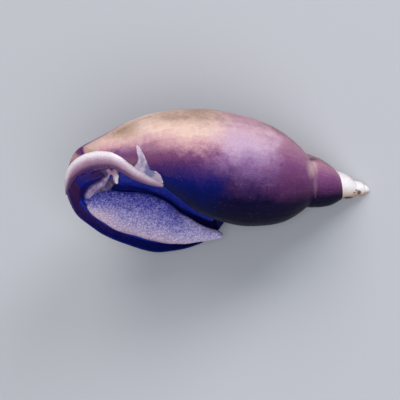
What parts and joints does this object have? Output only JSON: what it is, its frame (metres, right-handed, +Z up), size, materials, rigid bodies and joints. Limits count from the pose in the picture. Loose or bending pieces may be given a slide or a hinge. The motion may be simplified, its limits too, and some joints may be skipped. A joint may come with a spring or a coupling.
{
  "type": "great pond snail",
  "caption": "Life-size still model of a great pond snail lying on its shell, half drawn into the aperture with the sole of its foot up.",
  "frame": {"origin": "middle of the bounding box's base, on the floor that the shell lies on", "axes": "+Z up, +X toward the shell's apex, -Y the side that the aperture faces"},
  "size_m": [0.0456, 0.0204, 0.0221],
  "materials": {
    "shell": "glossy thin shell, purple-brown, with fine growth lines",
    "worn_shell": "chalky, worn white",
    "callus": "glossy white glaze",
    "dark_flesh": "wet, blue-black",
    "sole": "wet, lilac-grey, finely speckled",
    "head_flesh": "wet, pinkish grey",
    "eye": "black, glossy"
  },
  "bodies": {
    "root": {"shell_body_whorl": "shell", "shell_spire": "shell", "shell_apex": "worn_shell", "shell_columella": "callus", "mantle": "dark_flesh", "foot_front": "sole", "foot_middle": "sole", "foot_tail": "sole", "head": "head_flesh", "tentacle_left": "head_flesh", "tentacle_right": "dark_flesh", "eye_left": "eye", "eye_right": "eye"}
  },
  "joints": []
}
